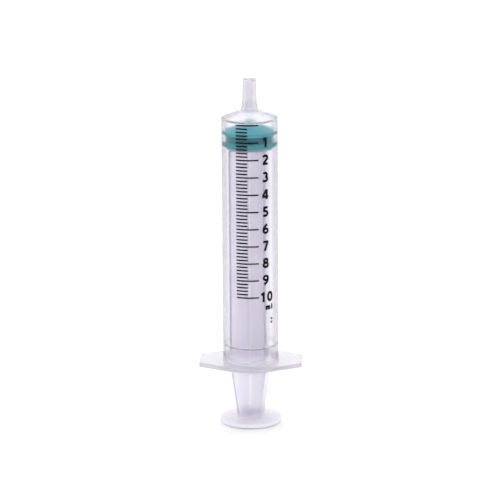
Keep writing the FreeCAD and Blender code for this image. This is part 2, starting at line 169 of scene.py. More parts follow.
class PlungerSizes(bpy.types.PropertyGroup):
    """Sizes of the plunger rod and of the rubber stopper on its head."""

    thumb_radius: length("Thumb radius", "Radius of the thumb disc", 9.55)
    thumb_thickness: length("Thumb thickness", "Thickness of the thumb disc", 1.2)
    thumb_edge: length("Thumb edge", "Round on the thumb disc's edges", 0.35)
    rib_reach: length("Rib reach", "Axis to the outer edge of a rib", 7.3)
    rib_foot: length("Rib foot", "Reach of the ribs where they meet the thumb disc", 4.7)
    rib_taper: length("Rib taper", "Height over which the ribs widen", 16.2)
    rib_length: length("Rib length", "Thumb disc to the front disc", 85.6)
    rib_root: length("Rib root", "Half the thickness of a rib at the middle", 0.7)
    rib_tip: length("Rib tip", "Half the thickness of a rib at its outer edge", 0.526)
    rib_edge: length("Rib edge", "Round on the outer edges of the ribs", 0.14)
    root_round: length("Root round", "Fillet in the four inner corners", 0.5)
    foot_round: length("Foot round", "Fillet between the ribs and the thumb disc", 0.3)
    rib_turn: angle("Rib turn", "Turn of the cross about the axis", 38)
    disc_radius: length("Disc radius", "Disc that backs the stopper", 7.2)
    disc_thickness: length("Disc thickness", "Disc that backs the stopper", 0.8)
    neck_radius: length("Neck radius", "Neck under the snap head", 3.2)
    neck_length: length("Neck length", "Neck under the snap head", 1.4)
    head_radius: length("Head radius", "Snap head inside the stopper", 4.8)
    head_rim: length("Head rim", "Straight rim of the snap head", 1.1)
    head_nose: length("Head nose", "Cone on the snap head", 1.2)
    nose_radius: length("Nose radius", "Flat end of the snap head", 2.5)
    head_round: length("Head round", "Round on the front disc and on the snap head", 0.15)
    head_gap: length("Head gap", "Gap round the snap head inside the stopper", 0.06)
    ring_radius: length("Ring radius", "Sealing rings, squeezed against the bore", 7.73)
    rear_ring: length("Rear ring", "Height of the rear sealing ring", 1.6)
    groove: length("Groove", "Height of the groove between the rings", 2.0)
    groove_radius: length("Groove radius", "Radius at the bottom of the groove", 7.21)
    front_ring: length("Front ring", "Height of the front sealing ring", 1.1)
    ring_round: length("Ring round", "Round on the edges of the rings", 0.25)
    point_radius: length("Point radius", "Flat at the point of the cone", 0.5)


class PrintSizes(bpy.types.PropertyGroup):
    """Sizes and places of the numbers that are printed beside the scale."""

    zero_height: length("Zero height", "Height of the scale's zero line", 95.287)
    step: length("Step", "Distance between two numbers", 5.3688)
    ink: length("Ink", "Thickness of the ink", 0.04)
    number_height: length("Number height", "Height of a printed figure", 3.1)
    number_stroke: length("Number stroke", "Width of the strokes of a figure", 0.75)
    number_place: length("Number place", "Front to the left of a single figure, round the barrel", 4.28)
    ten_place: length("Ten place", "Front to the left of the number ten, round the barrel", 3.36)
    figure_step: length("Figure step", "Left of the one to the left of the nought", 2.46)
    unit_height: length("Unit height", "Height of the unit's tall letter", 1.75)
    unit_stroke: length("Unit stroke", "Width of the strokes of the unit", 0.56)
    unit_place: length("Unit place", "Front to the left of the unit, round the barrel", 5.2)
    unit_drop: length("Unit drop", "Last line of the scale to the foot of the unit", 4.15)
    dots_height: length("Dots height", "Height over the two dots under the unit", 1.75)
    dots_stroke: length("Dots stroke", "Width of the dots", 0.7)
    dots_place: length("Dots place", "Front to the left of the dots, round the barrel", 7.25)
    dots_drop: length("Dots drop", "Last line of the scale to the foot of the dots", 8.6)
    highest: IntProperty(name="Highest", description="Highest printed number", default=10)


class Finishes(bpy.types.PropertyGroup):
    """Colours of the mouldings, the rubber, the ink and the floor."""

    barrel: colour("Barrel", "Tint of the clear barrel", "#FDFCFF")
    barrel_haze: colour("Barrel haze", "Tint where the barrel is cloudier", "#FBF9FF")
    # Barrel slant is mostly painted shade: it darkens the walls' outlines and the bead's grey line
    barrel_slant: colour("Barrel slant", "Tint where the wall is seen at a slant", "#747089")
    barrel_thick: colour("Barrel thick", "Tint of the nozzle and the flange", "#F4F2F9")
    rod: colour("Rod", "Tint of the natural plunger rod", "#FCFAFF")
    # Rod haze also tints the end below the flange as painted shade
    rod_haze: colour("Rod haze", "Tint where the rod is cloudier", "#F5F3FB")
    # Rod front is a painted reflection: the stopper's teal seen in the front disc
    rod_front: colour("Rod front", "Tint of the front disc, through which the stopper shows", "#D6F0F3")
    rubber: colour("Rubber", "Teal of the stopper", "#66CDD3")
    rubber_dark: colour("Rubber dark", "Teal where the rubber is duller", "#54BEC4")
    # Rubber oiled is a painted shade: the darker teal of the shaded groove and rear ring
    rubber_oiled: colour("Rubber oiled", "Teal under the oil in the groove", "#228A93")
    ink: colour("Ink", "Black of the print", "#0A0812")
    floor: colour("Floor", "Pale board that the syringe stands on", "#FBFBFB")


class StudioSizes(bpy.types.PropertyGroup):
    """Where the camera stands and how bright the studio is."""

    distance: length("Distance", "Axis to the camera, measured level", 787.5)
    height: length("Height", "Floor to the camera", 259.1)
    azimuth: angle("Azimuth", "Turn of the camera from the front of the scale", 2)
    pitch: angle("Pitch", "How far the camera looks down", 14.56)
    roll: angle("Roll", "Tilt of the camera", -0.33)
    lens: FloatProperty(
        name="Lens", description="Focal length for a 36 mm sensor", default=190.8, subtype="DISTANCE_CAMERA"
    )
    sky_behind: FloatProperty(name="Sky behind", description="Brightness beyond the syringe", default=1.16)
    sky_before: FloatProperty(name="Sky before", description="Brightness behind the camera", default=1.05)
    near_light: FloatProperty(
        name="Near light", description="Power of the soft box over the syringe", default=0.3, unit="POWER"
    )
    far_light: FloatProperty(
        name="Far light", description="Power of the soft box beyond the syringe", default=1.2, unit="POWER"
    )
    floor_drop: length("Floor drop", "Gap under the thumb disc, which keeps the two faces apart", 0.3)


def arc_points(start, end, centre, steps):
    """Points on the shorter arc from start to end about a centre.

    Each point is the centre plus the radius turned evenly from the first direction to the last.
    """
    first = start - centre
    last = end - centre
    begin = math.atan2(first[1], first[0])
    turn = (math.atan2(last[1], last[0]) - begin + math.pi) % (2 * math.pi) - math.pi
    turns = begin + turn * np.linspace(0, 1, steps + 1)
    radius = np.hypot(*first)
    return centre + radius * np.stack([np.cos(turns), np.sin(turns)], axis=1)


def rounded(corners, steps=ARC_STEPS):
    """A profile through corners (across, up, radius), with a tangent arc in place of each corner.

    The arc touches both sides at radius times the tangent of half the turn from the corner, and
    its centre lies on the corner's bisector. A radius of nought leaves the corner sharp, and so
    does either end of the profile.
    """
    places = np.array([corner[:2] for corner in corners], float)
    last = len(corners) - 1
    parts = []
    for index, (_, _, radius) in enumerate(corners):
        place = places[index]
        if radius == 0 or index in (0, last):
            parts.append(place[None])
            continue
        back = places[index - 1] - place
        ahead = places[index + 1] - place
        back /= np.hypot(*back)
        ahead /= np.hypot(*ahead)
        half_turn = (math.pi - math.acos(np.clip(back @ ahead, -1, 1))) / 2
        reach = radius * math.tan(half_turn)
        bisector = (back + ahead) / np.hypot(*(back + ahead))
        centre = place + bisector * radius / math.cos(half_turn)
        parts.append(arc_points(place + back * reach, place + ahead * reach, centre, steps))
    return np.concatenate(parts)


def turned(profile, columns=COLUMNS):
    """Rings of a turned piece: each profile point (radius, height) becomes a circle about the axis."""
    theta = np.arange(columns) * (2 * math.pi / columns)
    radius, height = profile[:, 0, None], profile[:, 1, None]
    return np.stack(
        [radius * np.cos(theta), radius * np.sin(theta), height + 0 * theta], axis=2
    )


def skin_faces(row_count, columns, closed):
    """Corner numbers of the quads between neighbouring rings, and of the last to the first if closed."""
    rows = np.arange(row_count if closed else row_count - 1)[:, None]
    cols = np.arange(columns)[None]
    ahead = (cols + 1) % columns
    above = (rows + 1) % row_count
    quads = np.stack(
        [
            rows * columns + cols,
            rows * columns + ahead,
            above * columns + ahead,
            above * columns + cols,
        ],
        axis=2,
    )
    return quads.reshape(-1, 4)


def skin(rings, closed):
    """Vertices and faces of a closed shell through rings that run with the outside on their right.

    Closed rings join the last to the first like a bent tube. Otherwise a fan closes each end.
    """
    row_count, columns = rings.shape[:2]
    vertices = rings.reshape(-1, 3)
    quads = skin_faces(row_count, columns, closed)
    if closed:
        return vertices, quads, np.zeros((0, 3), int)
    cols = np.arange(columns)
    ahead = (cols + 1) % columns
    first = len(vertices)
    last_row = (row_count - 1) * columns
    fans = np.concatenate(
        [
            np.stack([ahead, cols, np.full(columns, first)], axis=1),
            np.stack([last_row + cols, last_row + ahead, np.full(columns, first + 1)], axis=1),
        ]
    )
    poles = np.stack([rings[0].mean(0), rings[-1].mean(0)])
    return np.concatenate([vertices, poles]), quads, fans


def smooth_normals(vertices, quads, fans):
    """A normal for each vertex: the mean of its faces' normals, weighted by the square of their area.

    The square lets a long flat wall rule over the narrow arc beside it, so flats shade flat.
    """
    normals = np.zeros_like(vertices)
    for faces in (quads, fans):
        if not len(faces):
            continue
        a, b, c, d = (vertices[faces[:, k]] for k in (0, 1, 2, faces.shape[1] - 1))
        cross = np.cross(c - a, d - b) if faces.shape[1] == 4 else np.cross(b - a, c - a)
        weighted = cross * np.linalg.norm(cross, axis=1, keepdims=True)
        for k in range(faces.shape[1]):
            np.add.at(normals, faces[:, k], weighted)
    return normals / np.linalg.norm(normals, axis=1, keepdims=True)


def make_piece(name, parts, material, body, smooth=True):
    """One object from shells (vertices, quads, fans), smooth by their own normals, riding a body."""
    vertices, faces, normals = [], [], []
    start = 0
    for part_vertices, quads, fans in parts:
        vertices.append(part_vertices)
        normals.append(smooth_normals(part_vertices, quads, fans))
        faces += (quads + start).tolist() + (fans + start).tolist()
        start += len(part_vertices)
    mesh = bpy.data.meshes.new(name)
    mesh.from_pydata(np.concatenate(vertices).tolist(), [], faces)
    mesh.validate()
    if smooth:
        mesh.shade_smooth()
        mesh.normals_split_custom_set_from_vertices(np.concatenate(normals).tolist())
    mesh.materials.append(material)
    piece = bpy.data.objects.new(name, mesh)
    bpy.context.scene.collection.objects.link(piece)
    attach(piece, body)
    return piece


def add_node(tree, kind, settings=None, inputs=None):
    """Adds a node, with its settings and with a value or a link for each named input."""
    node = tree.nodes.new(kind)
    for name, value in (settings or {}).items():
        setattr(node, name, value)
    for name, value in (inputs or {}).items():
        if isinstance(value, bpy.types.NodeSocket):
            tree.links.new(value, node.inputs[name])
        else:
            node.inputs[name].default_value = value
    return node


def new_material(name):
    """An empty node material and its output node."""
    material = bpy.data.materials.new(name)
    material.use_nodes = True
    tree = material.node_tree
    tree.nodes.clear()
    return material, tree, add_node(tree, "ShaderNodeOutputMaterial")


def rgba(value):
    return (*value, 1.0)


# Settings that many nodes share
SMOOTH = {"interpolation_type": "SMOOTHSTEP"}
COLOURS = {"data_type": "RGBA"}


def over(span):
    """The two ends of a span, as the range that a map starts from."""
    return {"From Min": span[0], "From Max": span[1]}


def reach_and_height(tree, place):
    """Distance of a place from the syringe's axis, the length of (X, Y), and its height, Z."""
    parts = add_node(tree, "ShaderNodeSeparateXYZ", inputs={"Vector": place}).outputs
    flat = add_node(tree, "ShaderNodeCombineXYZ", inputs={"X": parts["X"], "Y": parts["Y"]})
    reach = add_node(tree, "ShaderNodeVectorMath", {"operation": "LENGTH"}, {0: flat.outputs["Vector"]})
    return reach.outputs["Value"], parts["Z"]


def barrel_plastic(finishes, sizes):
    """Polypropylene, moulded in a polished tool: clear and glossy, with a faint violet cast.

    Slow cloudy streaks along the flow and a slight orange peel keep it from looking like glass.
    """
    material, tree, output = new_material("polished_polypropylene")
    place = add_node(tree, "ShaderNodeTexCoord").outputs["Object"]
    reach, height = reach_and_height(tree, place)
    # The nozzle and the flange are thick and cool slowly, so they come out milkier than the tube
    nozzle = add_node(tree, "ShaderNodeMapRange", SMOOTH, {"Value": height, **over(NOZZLE_CLOUDS)})
    flange = add_node(tree, "ShaderNodeMapRange", SMOOTH, {"Value": height, **over(FLANGE_CLOUDS)})
    thick = add_node(
        tree,
        "ShaderNodeMath",
        {"operation": "MAXIMUM"},
        {0: nozzle.outputs["Result"], 1: flange.outputs["Result"]},
    ).outputs["Value"]
    # Streaks of haze 3 mm wide and 12 mm long, along the way the plastic flowed
    stretched = add_node(tree, "ShaderNodeMapping", inputs={"Vector": place, "Scale": (1, 1, 0.25)})
    haze = add_node(
        tree,
        "ShaderNodeTexNoise",
        inputs={"Vector": stretched.outputs["Vector"], "Scale": 1 / (3 * MM), "Detail": 2.0},
    ).outputs["Fac"]
    streaks = add_node(
        tree,
        "ShaderNodeMix",
        COLOURS,
        {"Factor": haze, "A": rgba(finishes.barrel), "B": rgba(finishes.barrel_haze)},
    )
    facing_tint = add_node(
        tree,
        "ShaderNodeMix",
        COLOURS,
        {"Factor": thick, "A": streaks.outputs["Result"], "B": rgba(finishes.barrel_thick)},
    )
    # A slanting look goes a longer way through the wall of the tube and of the nozzle, which takes up a
    # little more of the light. Most of this darkening is painted shade, which draws their outlines where
    # the edges would show dimmer surroundings
    tube = add_node(tree, "ShaderNodeMath", {"operation": "SUBTRACT"}, {0: 1, 1: thick})
    spout = add_node(
        tree, "ShaderNodeMapRange", SMOOTH, {"Value": height, **over(SPOUT_OUTLINE), "To Max": 0.6}
    )
    walls = add_node(
        tree,
        "ShaderNodeMath",
        {"operation": "MAXIMUM"},
        {0: tube.outputs["Value"], 1: spout.outputs["Result"]},
    )
    facing = add_node(tree, "ShaderNodeLayerWeight", inputs={"Blend": 0.5}).outputs["Facing"]
    slant = add_node(
        tree,
        "ShaderNodeMapRange",
        SMOOTH,
        {"Value": facing, **over((0.25, 0.95)), "To Max": walls.outputs["Value"]},
    )
    # Painted shade: a fine grey line on the lower side of the bead's crest, in place of the dark line that
    # the bead's curve bends into view
    depths = [sizes.bore_radius - depth for depth in BEAD_SHADE_DEPTHS]
    crest = add_node(tree, "ShaderNodeMapRange", SMOOTH, {"Value": reach, **over(depths)})
    bead = BARREL_FOOT + sizes.bead_height
    bead_shade = add_node(
        tree,
        "ShaderNodeMapRange",
        SMOOTH,
        {"Value": height, **over((bead, bead - BEAD_SHADE_HEIGHT)), "To Max": crest.outputs["Result"]},
    )
    darkest = add_node(
        tree,
        "ShaderNodeMath",
        {"operation": "MAXIMUM"},
        {0: slant.outputs["Result"], 1: bead_shade.outputs["Result"]},
    )
    tint = add_node(
        tree,
        "ShaderNodeMix",
        COLOURS,
        {
            "Factor": darkest.outputs["Value"],
            "A": facing_tint.outputs["Result"],
            "B": rgba(finishes.barrel_slant),
        },
    )
    clear = add_node(tree, "ShaderNodeMapRange", inputs={"Value": thick, "To Min": 0.99, "To Max": 0.7})
    polish = add_node(tree, "ShaderNodeMapRange", inputs={"Value": haze, "To Min": 0.14, "To Max": 0.2})
    gloss = add_node(
        tree,
        "ShaderNodeMapRange",
        inputs={"Value": thick, "To Min": polish.outputs["Result"], "To Max": 0.24},
    )
    # Orange peel 1.5 mm across
    peel = add_node(
        tree, "ShaderNodeTexNoise", inputs={"Vector": place, "Scale": 1 / (1.5 * MM), "Detail": 1.0}
    )
    bump = add_node(
        tree,
        "ShaderNodeBump",
        inputs={"Height": peel.outputs["Fac"], "Strength": 0.012, "Distance": 0.05 * MM},
    )
    plastic = add_node(
        tree,
        "ShaderNodeBsdfPrincipled",
        inputs={
            "Base Color": tint.outputs["Result"],
            "Roughness": gloss.outputs["Result"],
            "Normal": bump.outputs["Normal"],
            "IOR": 1.49,
            "Specular Tint": (0.3, 0.3, 0.3, 1),
            "Transmission Weight": clear.outputs["Result"],
        },
    )
    tree.links.new(plastic.outputs["BSDF"], output.inputs["Surface"])
    return material


def rod_plastic(finishes):
    """Natural polypropylene, moulded in a plainer tool: milky, see-through only at a short range."""
    material, tree, output = new_material("natural_polypropylene")
    place = add_node(tree, "ShaderNodeTexCoord").outputs["Object"]
    height = add_node(tree, "ShaderNodeSeparateXYZ", inputs={"Vector": place}).outputs["Z"]
    # Faint milky patches 5 mm across
    haze = add_node(
        tree, "ShaderNodeTexNoise", inputs={"Vector": place, "Scale": 1 / (5 * MM), "Detail": 2.0}
    ).outputs["Fac"]
    patches = add_node(tree, "ShaderNodeMapRange", inputs={"Value": haze, "To Max": 0.4})
    # Painted shade: the end below the flange is tinted darker and more violet, as the flange shades it
    low_end = add_node(tree, "ShaderNodeMapRange", SMOOTH, {"Value": height, **over(ROD_END_SHADE)})
    haze_and_shade = add_node(
        tree,
        "ShaderNodeMath",
        {"operation": "MAXIMUM"},
        {0: patches.outputs["Result"], 1: low_end.outputs["Result"]},
    )
    body = add_node(
        tree,
        "ShaderNodeMix",
        COLOURS,
        {"Factor": haze_and_shade.outputs["Value"], "A": rgba(finishes.rod), "B": rgba(finishes.rod_haze)},
    )
    gloss = add_node(tree, "ShaderNodeMapRange", inputs={"Value": haze, "To Min": 0.38, "To Max": 0.5})
    # The thumb disc was moulded hottest and is the milkiest part, and the front disc comes next. The front
    # disc gets a teal tint, a painted reflection of the stopper on it
    ribs = add_node(
        tree,
        "ShaderNodeMapRange",
        SMOOTH,
        {"Value": height, **over(THUMB_DISC_TOP), "To Min": 0.12, "To Max": 0.96},
    )
    front_disc = add_node(
        tree, "ShaderNodeMapRange", SMOOTH, {"Value": height, **over(FRONT_DISC_FOOT)}
    ).outputs["Result"]
    front = add_node(
        tree, "ShaderNodeMapRange", inputs={"Value": front_disc, "To Min": 1.0, "To Max": 0.35}
    )
    clear = add_node(
        tree,
        "ShaderNodeMath",
        {"operation": "MINIMUM"},
        {0: ribs.outputs["Result"], 1: front.outputs["Result"]},
    )
    tint = add_node(
        tree,
        "ShaderNodeMix",
        COLOURS,
        {"Factor": front_disc, "A": body.outputs["Result"], "B": rgba(finishes.rod_front)},
    )
    plastic = add_node(
        tree,
        "ShaderNodeBsdfPrincipled",
        inputs={
            "Base Color": tint.outputs["Result"],
            "Roughness": gloss.outputs["Result"],
            "IOR": 1.49,
            "Specular Tint": (0.5, 0.5, 0.5, 1),
            "Transmission Weight": clear.outputs["Value"],
        },
    )
    tree.links.new(plastic.outputs["BSDF"], output.inputs["Surface"])
    return material


def stopper_rubber(finishes):
    """Moulded butyl rubber with a film of silicone oil: an even teal with a satin shine."""
    material, tree, output = new_material("siliconed_butyl_rubber")
    place = add_node(tree, "ShaderNodeTexCoord").outputs["Object"]
    reach, height = reach_and_height(tree, place)
    # Duller patches 2 mm across
    patches = add_node(
        tree, "ShaderNodeTexNoise", inputs={"Vector": place, "Scale": 1 / (2 * MM), "Detail": 3.0}
    ).outputs["Fac"]
    moulded = add_node(
        tree,
        "ShaderNodeMix",
        COLOURS,
        {"Factor": patches, "A": rgba(finishes.rubber), "B": rgba(finishes.rubber_dark)},
    )
    # Painted shade: the groove between the rings, which the rings shade, is deepened to a darker teal
    sunk = add_node(tree, "ShaderNodeMapRange", SMOOTH, {"Value": reach, **over(GROOVE_DEPTHS)})
    below = add_node(tree, "ShaderNodeMapRange", SMOOTH, {"Value": height, **over(FRONT_RING_FOOT)})
    groove = add_node(
        tree,
        "ShaderNodeMath",
        {"operation": "MULTIPLY"},
        {0: sunk.outputs["Result"], 1: below.outputs["Result"]},
    )
    # The rear ring gets about a third of the same painted shade
    rear = add_node(
        tree, "ShaderNodeMapRange", SMOOTH, {"Value": height, **over(REAR_RING_TOP), "To Max": 0.35}
    )
    painted_shade = add_node(
        tree,
        "ShaderNodeMath",
        {"operation": "MAXIMUM"},
        {0: groove.outputs["Value"], 1: rear.outputs["Result"]},
    )
    tint = add_node(
        tree,
        "ShaderNodeMix",
        COLOURS,
        {
            "Factor": painted_shade.outputs["Value"],
            "A": moulded.outputs["Result"],
            "B": rgba(finishes.rubber_oiled),
        },
    )
    gloss = add_node(tree, "ShaderNodeMapRange", inputs={"Value": patches, "To Min": 0.32, "To Max": 0.48})
    # The eroded finish of the mould, drawn at 0.25 mm so that it shows
    grain = add_node(
        tree, "ShaderNodeTexNoise", inputs={"Vector": place, "Scale": 1 / (0.25 * MM), "Detail": 1.0}
    )
    bump = add_node(
        tree,
        "ShaderNodeBump",
        inputs={"Height": grain.outputs["Fac"], "Strength": 0.15, "Distance": 0.02 * MM},
    )
    rubber = add_node(
        tree,
        "ShaderNodeBsdfPrincipled",
        inputs={
            "Base Color": tint.outputs["Result"],
            "Roughness": gloss.outputs["Result"],
            "Normal": bump.outputs["Normal"],
            "IOR": 1.52,
            "Specular IOR Level": 0.3,
        },
    )
    tree.links.new(rubber.outputs["BSDF"], output.inputs["Surface"])
    return material


def scale_ink(finishes):
    """Screen-printed ink: almost black, dull, and a little thinner in places."""
    material, tree, output = new_material("screen_printed_ink")
    place = add_node(tree, "ShaderNodeTexCoord").outputs["Object"]
    cover = add_node(
        tree, "ShaderNodeTexNoise", inputs={"Vector": place, "Scale": 1 / (0.4 * MM), "Detail": 2.0}
    ).outputs["Fac"]
    # Where the film is thin, the plastic behind it lightens it a little
    thin = tuple(THIN_INK_GAIN * v + THIN_INK_HAZE for v in finishes.ink)
    tint = add_node(
        tree,
        "ShaderNodeMix",
        COLOURS,
        {"Factor": cover, "A": rgba(finishes.ink), "B": rgba(thin)},
    )
    ink = add_node(
        tree,
        "ShaderNodeBsdfPrincipled",
        inputs={"Base Color": tint.outputs["Result"], "Roughness": 0.7, "Specular IOR Level": 0.1},
    )
    tree.links.new(ink.outputs["BSDF"], output.inputs["Surface"])
    return material


def floor_board(finishes):
    """Matt white card: pale and even, with a tooth too fine to catch the light."""
    material, tree, output = new_material("matt_card")
    place = add_node(tree, "ShaderNodeTexCoord").outputs["Object"]
    tooth = add_node(
        tree, "ShaderNodeTexNoise", inputs={"Vector": place, "Scale": 1 / (2 * MM), "Detail": 2.0}
    )
    gloss = add_node(
        tree, "ShaderNodeMapRange", inputs={"Value": tooth.outputs["Fac"], "To Min": 0.85, "To Max": 0.95}
    )
    card = add_node(
        tree,
        "ShaderNodeBsdfPrincipled",
        inputs={
            "Base Color": rgba(finishes.floor),
            "Roughness": gloss.outputs["Result"],
            "Specular IOR Level": 0.1,
        },
    )
    tree.links.new(card.outputs["BSDF"], output.inputs["Surface"])
    return material


def flange_outline(sizes, columns=COLUMNS):
    """Points and outward normals of the flange in plan, one for each column round the barrel.

    From the end on X to the middle on Y a quarter runs straight up the end, round the corner, along
    the straight side and round the middle. Each column's share of the quarter counts its turn about
    the axis plus half the turn of its normal, which puts more columns in the corners. The other
    quarters mirror it.
    """
    middle, half = sizes.flange_middle, sizes.flange_half
    turn, corner = sizes.flange_turn, sizes.flange_corner
    side = np.array([math.sin(turn), math.cos(turn)])
    # The corner's centre lies one radius inside both the end and the side
    centre_x = half - corner
    centre_y = (middle - corner - centre_x * side[0]) / side[1]
    share = np.linspace(0, 1, 200)
    last = math.pi / 2 - turn
    corner_turn = last * share
    middle_turn = last + turn * share
    centre = np.array([centre_x, centre_y])
    foot = np.array([half, centre_y])
    shoulder = centre + corner * side
    points = np.concatenate(
        [
            np.array([half, 0]) + share[:, None] * (foot - [half, 0]),
            centre + corner * np.stack([np.cos(corner_turn), np.sin(corner_turn)], axis=1),
            shoulder + share[:, None] * (middle * side - shoulder),
            middle * np.stack([np.cos(middle_turn), np.sin(middle_turn)], axis=1),
        ]
    )
    facing = np.concatenate([0 * share, corner_turn, 0 * share + last, middle_turn])
    cost = np.arctan2(points[:, 1], points[:, 0]) + facing / 2
    theta = np.arange(columns) * (2 * math.pi / columns)
    folded = np.arccos(np.abs(np.cos(theta))) / (math.pi / 2) * cost[-1]
    across, along = (np.interp(folded, cost, points[:, k]) for k in (0, 1))
    faced = np.interp(folded, cost, facing)
    signs = np.stack([np.sign(np.cos(theta).round(9)), np.sign(np.sin(theta).round(9))], axis=1)
    normals = np.stack([np.cos(faced), np.sin(faced)], axis=1)
    return np.stack([across, along], axis=1) * signs, normals * signs


def flange_rings(sizes, foot):
    """Rings of the flange's rim: the outline set in by a quarter circle at the lower and upper edge."""
    outline, normals = flange_outline(sizes)
    edge = sizes.flange_edge
    rim = rounded(
        [
            (edge * 2, foot, 0),
            (0, foot, edge),
            (0, foot + sizes.flange_thickness, edge),
            (edge * 2, foot + sizes.flange_thickness, 0),
        ]
    )[1:-1]
    plan = outline[None] - normals[None] * rim[:, 0, None, None]
    return np.concatenate([plan, np.broadcast_to(rim[:, 1, None, None], plan[..., :1].shape)], axis=2)


def barrel_rings(sizes):
    """Rings of the barrel from the flange's rim, up the outside, down the bore and out at the mouth."""
    bore, wall = sizes.bore_radius, sizes.wall
    outside = bore + wall
    foot = BARREL_FOOT
    slope = math.tan(sizes.shoulder_slope)
    top = foot + sizes.flange_thickness
    shoulder = foot + sizes.tube_length
    inner_shoulder = shoulder + wall * slope - wall / math.cos(sizes.shoulder_slope)
    collar = shoulder + (outside - sizes.collar_radius) * slope
    flare = collar + sizes.collar_height
    nozzle = flare + sizes.collar_flare
    tip = nozzle + sizes.nozzle_length
    way = inner_shoulder + (bore - sizes.nozzle_bore) * slope
    crease = sizes.crease
    root = sizes.flange_root
    up = rounded(
        [
            (outside + 2 * root, top, 0),
            (outside, top, root),
            (outside, shoulder, sizes.shoulder_round),
            (sizes.collar_radius, collar, 2 * crease),
            (sizes.collar_radius, flare, crease),
            (sizes.nozzle_foot, nozzle, crease),
            (sizes.nozzle_tip, tip, sizes.nozzle_round),
            (sizes.nozzle_bore, tip, crease),
            (sizes.nozzle_bore, way, crease),
            (bore, inner_shoulder, 2 * crease),
            (bore, foot + sizes.bead_height, 0),
        ]
    )[1:-1]
    # The bead is the part of its circle that stands out from the bore
    sunk = sizes.bead_radius - sizes.bead_rise
    spread = math.acos(sunk / sizes.bead_radius)
    swing = np.linspace(spread, -spread, 4 * ARC_STEPS)
    bead = np.stack(
        [
            bore + sunk - sizes.bead_radius * np.cos(swing),
            foot + sizes.bead_height + sizes.bead_radius * np.sin(swing),
        ],
        axis=1,
    )
    mouth = sizes.mouth_round
    down = rounded([(bore, foot + 4 * mouth, 0), (bore, foot, mouth), (outside, foot, 0)])
    profile = np.concatenate([up, bead, down[1:-1]])
    return np.concatenate([flange_rings(sizes, foot), turned(profile)])


def rib_outline(sizes, reach, grow=0.0):
    """Points of the cross of ribs in plan, set out by a distance, one for each column.

    Half a rib runs from the middle of the fillet between two ribs, round the fillet, along the
    drafted side, round the edge and to the middle of the tip. It is mirrored about the rib's middle
    and repeated four times.
    """
    draft = (sizes.rib_root - sizes.rib_tip) / (sizes.rib_reach - sizes.rib_root)
    facing = math.atan2(1, draft)
    normal = np.array([math.cos(facing), math.sin(facing)])
    # The fillet's centre lies on the line between two ribs, one radius off the side
    radius = sizes.root_round
    offset = radius * math.hypot(draft, 1) / (1 + draft)
    centre = np.full(2, sizes.rib_root + offset)
    swing = np.linspace(-0.75 * math.pi, facing - math.pi, 8)
    fillet = centre + (radius - grow) * np.stack([np.cos(swing), np.sin(swing)], axis=1)
    # The tip's corner, one edge radius inside the side and the tip
    edge = sizes.rib_edge
    corner_x = reach - edge
    side_y = sizes.rib_root - draft * (corner_x - sizes.rib_root)
    corner = np.array([corner_x, side_y - edge / normal[1]])
    bend = np.linspace(facing, 0, 7)
    tip = corner + (edge + grow) * np.stack([np.cos(bend), np.sin(bend)], axis=1)
    share = np.linspace(0, 1, 12)[1:-1, None]
    side = fillet[-1] + share * (tip[0] - fillet[-1])
    end = tip[-1] + np.linspace(0, 1, 5)[1:, None] * (np.array([reach + grow, 0]) - tip[-1])
    half = np.concatenate([fillet, side, tip, end])[::-1]
    mirrored = (half * [1, -1])[::-1]
    rib = np.concatenate([mirrored[1:-1], half])
    turns = sizes.rib_turn + np.arange(4) * math.pi / 2
    spin = np.stack(
        [np.stack([np.cos(turns), -np.sin(turns)], 1), np.stack([np.sin(turns), np.cos(turns)], 1)], 1
    )
    return np.einsum("tij,nj->tni", spin, rib).reshape(-1, 2)


def plunger_rings(sizes):
    """Rings of the plunger rod, from the underside of the thumb disc up to the snap head's nose.

    The flat faces join a circle to the cross of ribs column by column, all at one height.
    """
    thick, edge = sizes.thumb_thickness, sizes.thumb_edge
    columns = len(rib_outline(sizes, sizes.rib_reach))
    reach = sizes.thumb_radius
    low = rounded([(0, 0, 0), (reach, 0, edge), (reach, thick, edge), (0, thick, 0)])[1:-1]
    # Circles share the cross's columns, spread evenly from the middle of one fillet to the next
    theta = np.arange(columns) * (2 * math.pi / columns)
    theta += sizes.rib_turn - math.pi / 4 + 2 * math.pi / columns
    foot = sizes.foot_round
    swing = np.linspace(0, math.pi / 2, ARC_STEPS)
    rows = [np.stack([r * np.cos(theta), r * np.sin(theta), 0 * theta + z], 1) for r, z in low]
    for turn in swing:
        plan = rib_outline(sizes, sizes.rib_foot, foot * (1 - math.sin(turn)))
        rows.append(np.column_stack([plan, np.full(columns, thick + foot * (1 - math.cos(turn)))]))
    top = thick + sizes.rib_length
    for rib, height in (
        (sizes.rib_reach, thick + sizes.rib_taper),
        (sizes.rib_reach, top - RIB_TUCK_HEIGHT),
        (sizes.disc_radius - RIB_TUCK, top),
    ):
        rows.append(np.column_stack([rib_outline(sizes, rib), np.full(columns, height)]))
    seat = top + sizes.disc_thickness
    head = seat + sizes.neck_length
    rim = head + sizes.head_rim
    crease, soft = FINE_CREASE, sizes.head_round
    high = rounded(
        [
            (0, top, 0),
            (sizes.disc_radius, top, crease),
            (sizes.disc_radius, seat, soft),
            (sizes.neck_radius, seat, crease),
            (sizes.neck_radius, head, crease),
            (sizes.head_radius, head, soft),
            (sizes.head_radius, rim, soft),
            (sizes.nose_radius, rim + sizes.head_nose, crease),
            (0, rim + sizes.head_nose, 0),
        ],
        steps=3,
    )[1:-1]
    rows += [np.stack([r * np.cos(theta), r * np.sin(theta), 0 * theta + z], 1) for r, z in high]
    return np.stack(rows)


